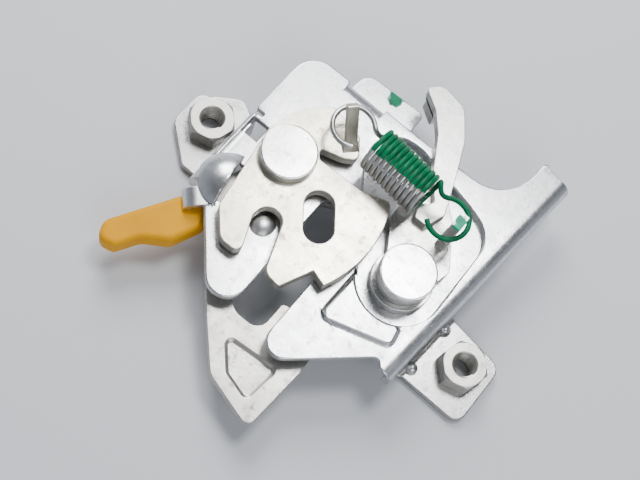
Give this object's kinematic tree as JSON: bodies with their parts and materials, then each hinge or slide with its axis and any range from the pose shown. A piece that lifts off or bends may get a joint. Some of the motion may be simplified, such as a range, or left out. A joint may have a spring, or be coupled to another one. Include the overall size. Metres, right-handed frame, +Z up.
{
  "type": "bonnet latch",
  "caption": "Zinc-plated car bonnet latch: pressed frame with weld nuts, turning claw, release pawl, painted tension spring and a safety hook with a yellow grip.",
  "frame": {"origin": "on the left weld nut's axis, in the mounting face under the tabs", "axes": "+X from the left nut towards the right tab, +Y the way the striker enters the slot, +Z up from the mounting face through the plate"},
  "size_m": [0.1231, 0.1181, 0.0382],
  "materials": {
    "zinc_sheet": "bright zinc plate, slightly hazy",
    "zinc_warm": "zinc plate with a warm passivated tint",
    "rivet_steel": "bright turned steel",
    "washer_steel": "plain zinc plate",
    "spring_paint": "steel wire with green marking paint",
    "grip_plastic": "moulded, satin"
  },
  "bodies": {
    "frame": {"frame_plate": "zinc_sheet", "weld_nut_left": "washer_steel", "weld_nut_right": "washer_steel", "claw_rivet": "rivet_steel", "claw_washer": "washer_steel", "pawl_rivet": "rivet_steel", "pawl_collar": "washer_steel", "main_spring": "spring_paint", "safety_spring": "washer_steel", "safety_spacer": "washer_steel", "safety_washer": "washer_steel"},
    "claw": {"claw": "zinc_warm"},
    "pawl": {"pawl": "zinc_warm"},
    "safety": {"safety_lever": "zinc_warm", "handle_grip": "grip_plastic"}
  },
  "joints": [
    {"name": "claw_pivot", "type": "hinge", "parent": "frame", "child": "claw", "pos_m": [0.0265, 0, 0.0215], "axis": [0, 0, 1], "range_deg": [0, 60], "deforming": ["main_spring"]},
    {"name": "pawl_pivot", "type": "hinge", "parent": "frame", "child": "pawl", "pos_m": [0.0742, -0.005, 0.017], "axis": [0, 0, 1], "range_deg": [-8, 8], "deforming": ["main_spring"]},
    {"name": "safety_pivot", "type": "hinge", "parent": "frame", "child": "safety", "pos_m": [0.0265, 0, 0.0095], "axis": [0, 0, 1], "range_deg": [0, 22], "deforming": ["safety_spring"]}
  ]
}
